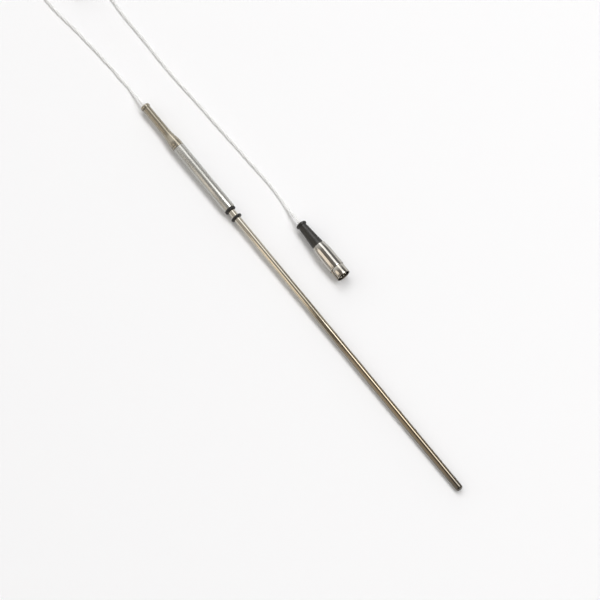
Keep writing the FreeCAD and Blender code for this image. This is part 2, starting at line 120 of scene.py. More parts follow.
def worked_metal(name, colours, roughness, line_mm, stretch, spread, depth_mm, smudge_mm=9.0, streak=0.08,
                 metallic=1.0, tint=(), painted_shade_at=()):
    """Metal with fine lines and faint smudges. A stretch under 1 turns the lines round the X axis.

    The two colours are the metal's own and that of its smudges. A tint takes their place where heat has
    coloured the metal: stops along X, in metres. Painted shade darkens the fine grooves at the places along X
    that it names, in metres, on the side towards -Y alone, where the lamps leave them in shade.
    """
    material, tree, shader = new_material(name, colours[0], roughness, metallic)
    lines = pattern(tree, line_mm, stretch, FINE_DETAIL)
    smudges = pattern(tree, smudge_mm, SMUDGE_STRETCH)
    place = add(tree, "ShaderNodeTexCoord").outputs["Object"]
    parts = add(tree, "ShaderNodeSeparateXYZ", links={"Vector": place})
    along = parts.outputs["X"]
    share = smudges
    stops = [(NOISE_LOW, colours[0]), (NOISE_HIGH, colours[1])]
    if tint:
        first, last = tint[0][0], tint[-1][0]
        even = add(tree, "ShaderNodeMapRange", span(0.0, 1.0, first, last), {"Value": along})
        drift = add(tree, "ShaderNodeMapRange", span(-TINT_DRIFT, TINT_DRIFT), {"Value": smudges})
        heat = add(tree, "ShaderNodeMath", {"operation": "ADD"}, {0: even.outputs[0], 1: drift.outputs[0]})
        share = heat.outputs[0]
        stops = [((at - first) / (last - first), colour) for at, colour in tint]
    base = add(tree, "ShaderNodeValToRGB", {"stops": stops}, {"Fac": share}).outputs["Color"]
    shade = add(tree, "ShaderNodeMapRange", span(1 - streak, 1 + streak), {"Value": lines}).outputs[0]
    # Painted shade: each groove is darkened on the side towards -Y alone, where the lamps leave it in shade
    for groove in painted_shade_at:
        off = add(tree, "ShaderNodeMath", {"operation": "SUBTRACT", 1: groove}, {0: along}).outputs[0]
        away = add(tree, "ShaderNodeMath", {"operation": "ABSOLUTE"}, {0: off}).outputs[0]
        dark = add(tree, "ShaderNodeMapRange", span(PAINTED_SHADE_LEVEL, 1.0, *PAINTED_SHADE_REACH), {"Value": away})
        side = add(tree, "ShaderNodeMapRange", span(PAINTED_SHADE_LEVEL, 1.0, *PAINTED_SHADE_SIDE),
                   {"Value": parts.outputs["Y"]})
        groove_shade_mask = add(tree, "ShaderNodeMath", {"operation": "MAXIMUM"}, {0: dark.outputs[0], 1: side.outputs[0]})
        lines_and_groove_shade = add(tree, "ShaderNodeMath", {"operation": "MULTIPLY"}, {0: shade, 1: groove_shade_mask.outputs[0]})
        shade = lines_and_groove_shade.outputs[0]
    shaded = add(tree, "ShaderNodeVectorMath", {"operation": "SCALE"}, {0: base, "Scale": shade})
    fine = add(tree, "ShaderNodeMapRange", span(roughness - spread, roughness + spread), {"Value": lines})
    broad = add(tree, "ShaderNodeMapRange", span(-spread / 2, spread / 2), {"Value": smudges})
    uneven = add(tree, "ShaderNodeMath", {"operation": "ADD"}, {0: fine.outputs[0], 1: broad.outputs[0]})
    bump = add(tree, "ShaderNodeBump", {"Distance": depth_mm * MM}, {"Height": lines})
    tree.links.new(shaded.outputs["Vector"], shader.inputs["Base Color"])
    tree.links.new(uneven.outputs[0], shader.inputs["Roughness"])
    tree.links.new(bump.outputs["Normal"], shader.inputs["Normal"])
    return material


PATCH_MM = 6.0
# How far the grain carries a moulded surface's roughness down and up
GRAIN_SWING = (-0.05, 0.08)
# The share of the light that goes into the surface, where a depth of light is given
LIGHT_INSIDE = 0.7


def grained(name, colours, roughness, grain_mm, depth_mm, specular=0.5, depth_of_light_mm=0.0):
    """A moulded, cast or extruded finish: a fine grain, and patches a little lighter or darker.

    Where a depth of light is given, light goes into the surface that far and comes out again.
    """
    material, tree, shader = new_material(name, colours[0], roughness)
    shader.inputs["Specular IOR Level"].default_value = specular
    if depth_of_light_mm:
        shader.inputs["Subsurface Weight"].default_value = LIGHT_INSIDE
        shader.inputs["Subsurface Radius"].default_value = (1.0, 1.0, 1.0)
        shader.inputs["Subsurface Scale"].default_value = depth_of_light_mm * MM
    grain = pattern(tree, grain_mm, detail=FINE_DETAIL)
    patches = pattern(tree, PATCH_MM)
    stops = [(NOISE_LOW, colours[0]), (NOISE_HIGH, colours[1])]
    base = add(tree, "ShaderNodeValToRGB", {"stops": stops}, {"Fac": patches})
    swing = span(roughness + GRAIN_SWING[0], roughness + GRAIN_SWING[1])
    uneven = add(tree, "ShaderNodeMapRange", swing, {"Value": grain})
    bump = add(tree, "ShaderNodeBump", {"Distance": depth_mm * MM}, {"Height": grain})
    tree.links.new(base.outputs["Color"], shader.inputs["Base Color"])
    tree.links.new(uneven.outputs[0], shader.inputs["Roughness"])
    tree.links.new(bump.outputs["Normal"], shader.inputs["Normal"])
    return material


# Places that the pieces share with the solids, in metres. Each piece is drawn about X. X is 0 at the handle's
# nose for the probe's pieces, and at the mouth for the plug's

NOSE = (-0.103, 0.0, 0.0053965)
MOUTH = (0.0072, 0.0401, 0.0071)
TILT = math.radians(0.3896)
PROBE = Matrix.Translation(NOSE) @ Matrix.Rotation(TILT, 4, "Y")
PLUG = Matrix.Translation(MOUTH)


def probe_point(x):
    """A place on the probe's own axis, in the part, in mm."""
    return tuple(PROBE @ Vector((x * MM, 0, 0)) / MM)


# Points nearer together than this are one, in mm
WELD = 1e-4


def put(name, data):
    """A new object in the scene, with this data."""
    thing = bpy.data.objects.new(name, data)
    bpy.context.scene.collection.objects.link(thing)
    return thing


def mesh_of(curve):
    """The mesh that a curve gives."""
    holder = put(curve.name, curve)
    mesh = bpy.data.meshes.new_from_object(holder)
    bpy.data.objects.remove(holder)
    return mesh


# Lead: along the floor from the handle, round a coil past the picture's edge, and back to the plug

LEAD_R = 1.3
probe_run = [
    probe_point(-104.0), probe_point(-128.0), (-243.0, 0.5, LEAD_R), (-252.0, 1.0, LEAD_R),
    (-261.0, 0.0, LEAD_R), (-270.0, 0.7, LEAD_R), (-280.0, -0.5, LEAD_R), (-289.0, -0.3, LEAD_R),
    (-300.0, -1.5, LEAD_R), (-318.0, -2.6, LEAD_R), (-345.0, -6.0, LEAD_R),
    (-368.0, -6.0, LEAD_R), (-380.6, 6.5, LEAD_R), (-380.6, 24.5, 1.85),
]
plug_run = [
    (-350.7, 48.3, 9.35), (-341.5, 45.2, 8.55), (-324.5, 39.6, LEAD_R), (-304.0, 38.3, LEAD_R),
    (-279.0, 38.8, LEAD_R), (-253.0, 37.9, LEAD_R), (-226.0, 38.3, LEAD_R), (-199.0, 39.7, LEAD_R),
    (-172.0, 40.3, LEAD_R), (-149.0, 41.3, LEAD_R), (-126.0, 42.0, LEAD_R), (-100.0, 43.0, LEAD_R),
    (-86.0, 42.2, LEAD_R), (-76.0, 41.1, LEAD_R), (-66.0, 40.4, 5.5), (-58.0, 40.1, 7.1), (-25.8, 40.1, 7.1),
]

COIL_CENTRE = (-362.1, 32.7)
COIL_OUTER_R, COIL_INNER_R = 18.0, 8.2
COIL_LAYERS, LAYER_PITCH = 4, 2.5
LOWEST_TURN = 1.85
FIRST_ANGLE, LAST_ANGLE = 180.0, 71.0
WHOLE_TURNS = 17
POINTS_PER_TURN = 12
# The part of a turn in which the lead climbs to the next layer
CLIMB = 0.5


def coil_turns():
    """The coil's turns, clockwise: each layer is a spiral, in and out by turns, and the next lies on it."""
    turns = WHOLE_TURNS + (FIRST_ANGLE - LAST_ANGLE) / 360
    count = round(turns * POINTS_PER_TURN)
    # The spline passes inside its points, so they lie a little further out than the turn
    widen = 1 / math.cos(math.pi / POINTS_PER_TURN)
    points = []
    for step in range(count + 1):
        angle = math.radians(FIRST_ANGLE - 360 * turns * step / count)
        share = COIL_LAYERS * step / count
        layer = min(int(share), COIL_LAYERS - 1)
        across = share - layer if layer % 2 == 0 else 1 - (share - layer)
        radius = (COIL_OUTER_R + (COIL_INNER_R - COIL_OUTER_R) * across) * widen
        climbed = [min(max((share - edge) * turns / COIL_LAYERS / CLIMB + 0.5, 0), 1)
                   for edge in range(1, COIL_LAYERS)]
        points.append((COIL_CENTRE[0] + radius * math.cos(angle), COIL_CENTRE[1] + radius * math.sin(angle),
                       LOWEST_TURN + LAYER_PITCH * sum(climbed)))
    return points


def route_line():
    """The lead's centre line: points along one smooth spline through the runs and the coil."""
    points = probe_run + coil_turns() + plug_run
    curve = bpy.data.curves.new("lead_route", "CURVE")
    curve.dimensions = "3D"
    curve.resolution_u = 12
    spline = curve.splines.new("NURBS")
    spline.points.add(len(points) - 1)
    for point, place in zip(spline.points, points):
        point.co = [c * MM for c in place] + [1.0]
    spline.order_u = 3
    spline.use_endpoint_u = True
    mesh = mesh_of(curve)
    line = [v.co.copy() for v in mesh.vertices]
    bpy.data.meshes.remove(mesh)
    return line


def even_steps(line, step):
    """The same line with points at least a step apart."""
    kept = [line[0]]
    for point in line[1:]:
        if (point - kept[-1]).length >= step:
            kept.append(point)
    return kept


# How many cores the lead has, their radius, how far they lie from its middle, the length in which they go
# round it once, and the length of a step along it
CORES = 4
CORE_R = 0.54
CORE_CIRCLE_R = 0.76
CORE_LAY = 39.0
CORE_STEP = 1.4


def twisted_cores(line):
    """Curves that twist round the line, one for each core."""
    curve = bpy.data.curves.new("lead_cores", "CURVE")
    curve.dimensions = "3D"
    curve.bevel_depth = CORE_R * MM
    curve.bevel_resolution = 2
    curve.use_fill_caps = True
    splines = [curve.splines.new("POLY") for _ in range(CORES)]
    for spline in splines:
        spline.points.add(len(line) - 1)
    side = (line[1] - line[0]).orthogonal().normalized()
    run = 0.0
    for i, point in enumerate(line):
        heading = (line[min(i + 1, len(line) - 1)] - line[max(i - 1, 0)]).normalized()
        side = (side - heading * side.dot(heading)).normalized()
        over = heading.cross(side)
        if i:
            run += (point - line[i - 1]).length
        for k, spline in enumerate(splines):
            angle = 2 * math.pi * (run / (CORE_LAY * MM) + k / CORES)
            offset = (side * math.cos(angle) + over * math.sin(angle)) * (CORE_CIRCLE_R * MM)
            spline.points[i].co = (*(point + offset), 1.0)
    return curve


def lead():
    """Four insulated cores twisted together, from the handle's splice to the plug's clamp."""
    line = even_steps(route_line(), CORE_STEP * MM)
    mesh = mesh_of(twisted_cores(line))
    shape = bmesh.new()
    shape.from_mesh(mesh)
    bmesh.ops.remove_doubles(shape, verts=shape.verts[:], dist=WELD * MM)
    bmesh.ops.recalc_face_normals(shape, faces=shape.faces[:])
    shape.to_mesh(mesh)
    shape.free()
    mesh.name = "lead"
    mesh.shade_smooth()
    mesh.materials.clear()
    mesh.materials.append(finishes["jacket"])
    piece = put("lead", mesh)
    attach(piece, "probe")
    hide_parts("lead_probe_run", "lead_coil", "lead_plug_run")


# Finishes, one for each of the record's slots

# Where heat has tinted the sheath, in metres along X: pale at the nose, straw, then brown-grey at the tip
HEAT_TINT = [(NOSE[0], "CBC5B7"), (-0.05, "C6BFB0"), (0.0, "B8B09F"), (0.06, "8A8070"), (0.13, "857A68"),
             (0.18, "776E60"), (0.225, "625D55")]
# The grooves before and behind the joint ring, and the step at the tail's rim, in metres along X. Shade is
# painted in them on the side towards -Y
FRONT_GROOVE, REAR_GROOVE, RIM_STEP = -0.1759, -0.1782, -0.222

finishes = {
    # Drawn and ground stainless tube: long fine lines, and a tint that deepens towards the hot end.
    # The lines are drawn 0.14 mm apart, coarser than real ones, so that they show
    "sheath_metal": worked_metal("drawn_stainless_tube", ("B8B1A3", "C0B6A5"), roughness=0.11, line_mm=0.14,
                                 stretch=60.0, spread=0.03, depth_mm=0.003, tint=HEAT_TINT),
    # Turned stainless, satin: its tool marks run round it and spread the highlight. They are drawn nearly
    # 0.2 mm apart, coarser than the real feed, so that they show
    # Its front groove has painted shade on the side towards -Y, where the lamps leave it in shade
    "handle_metal": worked_metal("turned_stainless", ("B8B7B2", "B3B2AC"), roughness=0.25, line_mm=0.5,
                                 stretch=0.35, spread=0.05, depth_mm=0.004, metallic=0.75,
                                 painted_shade_at=(FRONT_GROOVE,)),
    # Turned brass under dull nickel: warmer and darker than the barrel, with painted shade in its grooves and
    # at its rim step, on the side towards -Y
    "tail_metal": worked_metal("dull_nickel_plate", ("A8A192", "9E9685"), roughness=0.2, line_mm=0.5,
                               stretch=0.35, spread=0.05, depth_mm=0.004, metallic=0.75,
                               painted_shade_at=(FRONT_GROOVE, REAR_GROOVE, RIM_STEP)),
    # Moulded nitrile: near black, with a soft sheen and a fine grain
    "ring_rubber": grained("moulded_nitrile", ("1B1A19", "242220"), roughness=0.5, grain_mm=0.25,
                           depth_mm=0.01, specular=0.4),
    # Fired alumina: ivory and matt, with a faint sandy grain
    "element_ceramic": grained("fired_alumina", ("E8E4D8", "DED8C8"), roughness=0.5, grain_mm=0.2,
                               depth_mm=0.01),
    # Drawn platinum wire: pale, a little warm, with draw lines round a coiled wire
    "platinum": worked_metal("platinum_wire", ("D2CFC8", "CAC6BE"), roughness=0.25, line_mm=0.2, stretch=0.5,
                             spread=0.05, depth_mm=0.002),
    # Silver-plated copper wire: bright, with lines along it and a faint yellow tarnish in patches
    "lead_wire": worked_metal("silver_plated_wire", ("C9C6BD", "C0BBAC"), roughness=0.25, line_mm=0.1,
                              stretch=30.0, spread=0.05, depth_mm=0.002),
    # Ceramic cement: chalky and rough, with lumps
    "cement": grained("ceramic_cement", ("C9C2B0", "B9B09C"), roughness=0.9, grain_mm=0.3, depth_mm=0.05),
    # Cast epoxy: a dark brown fill, glossy where it has set against nothing
    "epoxy": grained("cast_epoxy", ("2B2724", "332E29"), roughness=0.25, grain_mm=2.0, depth_mm=0.01),
    # Plain brass crimp: yellow, with drawing lines along it
    "crimp_metal": worked_metal("plain_brass_crimp", ("C2A468", "B4945A"), roughness=0.3, line_mm=0.3,
                                stretch=5.0, spread=0.05, depth_mm=0.004),
    # Shrunk polyolefin sleeve: black and half matt
    "shrink": grained("shrink_sleeve", ("26262A", "2E2E33"), roughness=0.45, grain_mm=0.4, depth_mm=0.01),
    # Extruded PTFE core: white, faintly waxy
    "core_white": grained("extruded_ptfe_core", ("EAEAE8", "E2E2DF"), roughness=0.4, grain_mm=0.3,
                          depth_mm=0.004),
    # Turned PTFE bush: a softer white than the cores
    "bush_white": grained("turned_ptfe", ("EBEAE5", "E1DFD8"), roughness=0.5, grain_mm=0.3, depth_mm=0.004),
    # Turned brass bush: yellow, with tool marks round it
    "bush_brass": worked_metal("turned_brass", ("B89A5E", "AC8C50"), roughness=0.25, line_mm=0.3, stretch=0.3,
                               spread=0.05, depth_mm=0.004),
    # Extruded PTFE on the lead's cores: white, faintly waxy, with light going a little way into it
    "jacket": grained("extruded_ptfe_lead", ("F4F4F2", "EFEFED"), roughness=0.35, grain_mm=0.3,
                      depth_mm=0.004, depth_of_light_mm=1.2),
    # Moulded nylon: a warm white with a soft gloss
    "tie_nylon": grained("moulded_nylon", ("E6E4DC", "DCD9CF"), roughness=0.42, grain_mm=0.3, depth_mm=0.006),
    # Moulded soft PVC: charcoal, with a fine spark-eroded grain that breaks the highlight
    "boot_rubber": grained("moulded_soft_pvc", ("181612", "201D19"), roughness=0.42, grain_mm=0.3,
                           depth_mm=0.02, specular=0.55),
    # Bright nickel over a drawn sleeve: nearly a mirror, faintly brushed along
    "plug_nickel": worked_metal("bright_nickel_plate", ("BAB7B1", "B5B1AA"), roughness=0.1, line_mm=0.25,
                                stretch=12.0, spread=0.03, depth_mm=0.0012, smudge_mm=6.0, streak=0.04),
    # Nickel-plated steel pressing: as bright, a little greyer and less even than the sleeve
    "shell_nickel": worked_metal("nickel_plated_pressing", ("B6B2AA", "AFAAA1"), roughness=0.13, line_mm=0.3,
                                 stretch=8.0, spread=0.04, depth_mm=0.002, smudge_mm=5.0, streak=0.05),
    # Moulded phenolic: brown-black, half matt, with a fine filler grain
    "insulator_black": grained("moulded_phenolic", ("201E1C", "292624"), roughness=0.42, grain_mm=0.3,
                               depth_mm=0.015),
    # Silver-plated brass pin: the brightest metal here, with turning marks round it
    "pin_silver": worked_metal("silver_plated_brass_pin", ("DAD6CC", "D0CABC"), roughness=0.16, line_mm=0.2,
                               stretch=0.5, spread=0.04, depth_mm=0.002),
}

for entry in frame["record"]["subparts"]:
    materials = nodes[entry["node"]].data.materials
    for index in range(len(materials)):
        materials[index] = finishes[entry["material_slot"]]


# Turned and moulded pieces

TURN_STEPS = 96
SOFT_ANGLE = math.radians(32)


def add_piece(name, shape, place, body, slot, replaced):
    """Makes a piece from a mesh drawn in mm on its own axis, in the slot's finish, riding on its body."""
    bmesh.ops.recalc_face_normals(shape, faces=shape.faces[:])
    bmesh.ops.transform(shape, matrix=place @ Matrix.Scale(MM, 4), verts=shape.verts[:])
    mesh = bpy.data.meshes.new(name)
    shape.to_mesh(mesh)
    shape.free()
    mesh.shade_smooth()
    mesh.set_sharp_from_angle(angle=SOFT_ANGLE)
    mesh.materials.append(finishes[slot])
    piece = put(name, mesh)
    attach(piece, body)
    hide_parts(*replaced)
    return piece


def round_off(shape, geom, size, affect="EDGES"):
    """Rounds edges, or the corners of a wire loop."""
    bmesh.ops.bevel(shape, geom=geom, offset=size, offset_type="OFFSET", segments=3, profile=0.5,
                    affect=affect, clamp_overlap=True, material=-1)


def turned_shape(outline, closed=True, steps=TURN_STEPS):
    """An outline of (x, radius) or (x, radius, corner size) turned about X."""
    shape = bmesh.new()
    verts = [shape.verts.new((corner[0], 0, corner[1])) for corner in outline]
    for a, b in zip(verts, verts[1:] + verts[:1] if closed else verts[1:]):
        shape.edges.new((a, b))
    bmesh.ops.spin(shape, geom=shape.verts[:] + shape.edges[:], cent=(0, 0, 0), axis=(1, 0, 0),
                   angle=2 * math.pi, steps=steps, use_merge=True)
    bmesh.ops.remove_doubles(shape, verts=shape.verts[:], dist=WELD)
    for x, radius, size in (corner for corner in outline if len(corner) > 2):
        ring = [edge for edge in shape.edges
                if all(abs(v.co.x - x) < WELD and abs(math.hypot(v.co.y, v.co.z) - radius) < WELD
                       for v in edge.verts)]
        round_off(shape, ring, size)
    return shape


def easing(x, r, length, rise, steps=8):
    """Points on the arc that leaves (x, r) parallel to the axis and ends this length and rise away."""
    radius = (length ** 2 + rise ** 2) / (2 * abs(rise))
    whole = math.atan2(abs(length), radius - abs(rise))
    points = []
    for step in range(1, steps + 1):
        turn = whole * step / steps
        points.append((x + math.copysign(radius * math.sin(turn), length),
                       r + math.copysign(radius * (1 - math.cos(turn)), rise)))
    return points


def add_block(shape, place, size, edge, turn=Matrix.Identity(3)):
    """Adds a box with rounded edges, turned about the piece's own axis once it is in place."""
    corners = bmesh.ops.create_cube(shape, size=1.0)["verts"]
    bmesh.ops.scale(shape, vec=size, verts=corners)
    bmesh.ops.translate(shape, vec=place, verts=corners)
    bmesh.ops.rotate(shape, cent=(0, 0, 0), matrix=turn, verts=corners)
    round_off(shape, list({side for corner in corners for side in corner.link_edges}), edge)


# Fit between two pieces, and the edges that a turned piece has: a hairline, deburred, or chamfered
SNUG = 0.02
HAIRLINE, DEBURRED, EASED, CHAMFER = 0.05, 0.1, 0.15, 0.35


def on_probe(name, outline, slot, closed=True):
    """A piece turned about the probe's axis, in place of the solid of that name."""
    add_piece(name + "_turned", turned_shape(outline, closed), PROBE, "probe", slot, [name])


# Stem: a drawn tube, and a cap welded in and ground flush, with a hairline where they meet
STEM_R, STEM_BORE_R = 3.175, 2.675
STEM_BACK, PLUG_BACK, CAP_BACK, TIP = -30, 323, 326, 328
TIP_ROUND = 1.9
on_probe("sheath", [(STEM_BACK, STEM_BORE_R), (STEM_BACK, STEM_R, DEBURRED), (CAP_BACK, STEM_R, HAIRLINE),
                    (CAP_BACK, STEM_BORE_R)], "sheath_metal")
tip_edge = easing(TIP - TIP_ROUND, STEM_R, TIP_ROUND, -TIP_ROUND, 10)
on_probe("tip_cap", [(PLUG_BACK, 0), (PLUG_BACK, STEM_BORE_R - SNUG), (CAP_BACK, STEM_BORE_R - SNUG),
                     (CAP_BACK, STEM_R, HAIRLINE), (TIP - TIP_ROUND, STEM_R)] + tip_edge + [(TIP, 0)],
         "sheath_metal", closed=False)

# Handle: barrel, joint ring between two grooves, flared tail and its rolled cap
HANDLE_R, HANDLE_BORE_R = 5.4, 4.5
RING_FRONT, RING_BACK = -72.9, -75.2
BUSH_BACK = -14
on_probe("barrel", [(RING_FRONT, HANDLE_BORE_R), (RING_FRONT, HANDLE_R, CHAMFER), (0, HANDLE_R, 0.5),
                    (0, HANDLE_BORE_R, DEBURRED)], "handle_metal")
on_probe("nose_bush", [(BUSH_BACK, STEM_R + SNUG), (BUSH_BACK, HANDLE_BORE_R - SNUG),
                       (0, HANDLE_BORE_R - SNUG, EASED), (0, STEM_R + SNUG, EASED)], "bush_brass")
on_probe("joint_ring", [(RING_BACK, HANDLE_BORE_R), (RING_BACK, HANDLE_R, CHAMFER),
                        (RING_FRONT, HANDLE_R, CHAMFER), (RING_FRONT, HANDLE_BORE_R)], "tail_metal")

# The tail's outside from the ring back: shoulder, flare, straight slope, hollow, waist, and tail tube.
# Its inside: a spigot in the barrel, room for the cores, a taper, and the bore
SHOULDER, SLOPE, HOLLOW, WAIST, TUBE = -76.1, -80.9, -84.6, -92.0, -104
HOLLOW_R, WAIST_R, TUBE_R, TUBE_BORE_R = 4.34, 3.73, 3.6, 2.6
FLARE_DROP = 0.43
SPIGOT_FRONT, HOLD_BACK, TAPER_BACK = -62.2, -80.9, -88.3
HOLD_R = 3.6
RIM_FRONT, TAIL_END = -119, -122
flare = easing(SHOULDER, HANDLE_R, SLOPE - SHOULDER, -FLARE_DROP)
hollow = easing(WAIST, WAIST_R, HOLLOW - WAIST, HOLLOW_R - WAIST_R)
on_probe("tail_cone", [(RIM_FRONT, TUBE_BORE_R), (RIM_FRONT, TUBE_R), (TUBE, TUBE_R), (WAIST, WAIST_R)]
         + hollow + flare[::-1]
         + [(SHOULDER, HANDLE_R), (RING_BACK, HANDLE_R, CHAMFER), (RING_BACK, HANDLE_BORE_R - SNUG),
            (SPIGOT_FRONT, HANDLE_BORE_R - SNUG), (SPIGOT_FRONT, HOLD_R), (HOLD_BACK, HOLD_R),
            (TAPER_BACK, TUBE_BORE_R)], "tail_metal")

RIM_R, RIM_EDGE = 4.3, 0.8
CAP_BORE_R, LEAD_HOLE_R = 2.0, 1.35
CAP_FRONT, BUSH_FACE = -113, -121.7
on_probe("tail_cap", [(TAIL_END, CAP_BORE_R, DEBURRED), (TAIL_END, RIM_R, RIM_EDGE),
                      (RIM_FRONT, RIM_R, RIM_EDGE), (RIM_FRONT, TUBE_BORE_R - SNUG),
                      (CAP_FRONT, TUBE_BORE_R - SNUG), (CAP_FRONT, CAP_BORE_R)], "tail_metal")
on_probe("cable_bush", [(BUSH_FACE, LEAD_HOLE_R, EASED), (BUSH_FACE, CAP_BORE_R - SNUG, DEBURRED),
                        (CAP_FRONT, CAP_BORE_R - SNUG), (CAP_FRONT, LEAD_HOLE_R)], "bush_white")

O_RING_R = 0.975
O_RING_STEPS = 28
FLASH = 0.03


def o_ring(name, x, centre_r, body):
    """A moulded ring with a fine flash line round its outside, where the mould parts."""
    shape = bmesh.new()
    upright = Matrix.Translation((x, 0, centre_r)) @ Matrix.Rotation(math.pi / 2, 4, "X")
    bmesh.ops.create_circle(shape, segments=O_RING_STEPS, radius=O_RING_R, matrix=upright)
    outermost = max(shape.verts, key=lambda v: v.co.z)
    outermost.co.z += FLASH
    bmesh.ops.spin(shape, geom=shape.verts[:] + shape.edges[:], cent=(0, 0, 0), axis=(1, 0, 0),
                   angle=2 * math.pi, steps=TURN_STEPS, use_merge=True)
    add_piece(name + "_moulded", shape, PROBE, body, "ring_rubber", [name])


o_ring("o_ring_rear", 0.995, 4.17, "probe")
o_ring("o_ring_front", 9.7, 4.2, "depth_ring")


# Plug

LATCH_ANGLE, KEY_ANGLE = -31.5, 65.0


def on_plug(name, shape, slot):
    """A piece on the plug's axis, in place of the solid of that name."""
    add_piece(name + "_made", shape, PLUG, "probe", slot, [name])


def around(vert):
    """A place's angle about X, from +Z towards -Y."""
    return math.degrees(math.atan2(-vert.y, vert.z))


SLEEVE_FRONT, SLEEVE_BACK, SLEEVE_TAPER = -9.5, -35.5, -28.0
SLEEVE_R, SLEEVE_BACK_R, SLEEVE_WALL = 7.1, 6.15, 0.45
SLEEVE_STEPS = 144
SLEEVE_LIP, LIP_EASE = 0.2, 0.06
NOTCH_LENGTH, NOTCH_HALF = 1.1, 0.7
# The sleeve's faces within this many degrees of the notch are cut
NOTCH_ROOM = 25


def plug_sleeve():
    """The drawn outer sleeve: a tapered shoulder, a rolled front edge and a notch for the latch tab."""
    notch_back, notch_half = SLEEVE_FRONT - NOTCH_LENGTH, math.degrees(NOTCH_HALF / SLEEVE_R)
    shape = turned_shape([(SLEEVE_BACK, SLEEVE_BACK_R), (SLEEVE_BACK + 0.3, SLEEVE_BACK_R + 0.04),
                          (SLEEVE_TAPER, SLEEVE_R), (notch_back, SLEEVE_R),
                          (SLEEVE_FRONT - SLEEVE_LIP, SLEEVE_R),
                          (SLEEVE_FRONT - LIP_EASE, SLEEVE_R - LIP_EASE),
                          (SLEEVE_FRONT, SLEEVE_R - SLEEVE_LIP)], closed=False, steps=SLEEVE_STEPS)

    def by_notch(reach):
        return [f for f in shape.faces if f.calc_center_median().x > notch_back
                and abs(around(f.calc_center_median()) - LATCH_ANGLE) < reach]

    for side in (-1, 1):
        cut = Matrix.Rotation(math.radians(LATCH_ANGLE + side * notch_half), 4, "X")
        near = by_notch(NOTCH_ROOM)
        geom = near + list({e for f in near for e in f.edges}) + list({v for f in near for v in f.verts})
        bmesh.ops.bisect_plane(shape, geom=geom, plane_co=(0, 0, 0), plane_no=cut @ Vector((0, 1, 0)))
    bmesh.ops.delete(shape, geom=by_notch(notch_half), context="FACES")
    bmesh.ops.recalc_face_normals(shape, faces=shape.faces[:])
    bmesh.ops.solidify(shape, geom=shape.faces[:], thickness=SLEEVE_WALL)
    return shape


on_plug("plug_sleeve", plug_sleeve(), "plug_nickel")

# Boot: a domed flange round the lead, a tapered neck, and a collar inside the sleeve
BOOT_BACK, FLANGE_FRONT, NECK_BACK, BOOT_FRONT = -62, -59.4, -58.6, -30
COLLAR_BACK, COLLAR_FRONT = -33.5, -31.5
FLANGE_R, NECK_R, INSERT_R, COLLAR_R = 4.95, 3.85, 5.5, 5.85
# Its inside: room for the cores, room for the clamp, and the way in for the lead, which widens at its end
CORES_BACK, CLAMP_BACK, WAY_BACK = -36, -42, -52
CORES_ROOM_R, CLAMP_ROOM_R, WAY_R, WAY_END_R = 4.3, 2.4, 1.35, 1.6
dome = [(BOOT_BACK, 2.2), (-61.9, 3.0), (-61.68, 3.6), (-61.28, 4.3), (-60.7, FLANGE_R)]
boot_outside = [(FLANGE_FRONT, FLANGE_R, 0.25), (NECK_BACK, NECK_R, 0.3), (SLEEVE_BACK, INSERT_R),
                (COLLAR_BACK, INSERT_R), (COLLAR_BACK, COLLAR_R), (COLLAR_FRONT, COLLAR_R),
                (COLLAR_FRONT, INSERT_R), (BOOT_FRONT, INSERT_R)]
boot_inside = [(BOOT_FRONT, CORES_ROOM_R), (CORES_BACK, CORES_ROOM_R), (CORES_BACK, CLAMP_ROOM_R),
               (CLAMP_BACK, CLAMP_ROOM_R), (CLAMP_BACK, WAY_R), (WAY_BACK, WAY_R)]
on_plug("plug_boot", turned_shape([(BOOT_BACK, WAY_END_R, 0.2)] + dome + boot_outside + boot_inside),
        "boot_rubber")

KEY_DEPTH, KEY_HALF, KEY_SLOPE = 1.0, 1.1, 0.7
SHELL_BACK, SHELL_STEP = -26.0, -10.0
SHELL_R, SHROUD_R, SHELL_WALL = 6.4, 6.6, 0.5
SHELL_STEPS = 90
# The split between the two halves, in degrees
SHELL_SPLIT = 0.9
# The latch tab's place, size and edge
TAB = ((SHELL_STEP, 0, 6.5), (1.0, 1.2, 1.2), 0.2)


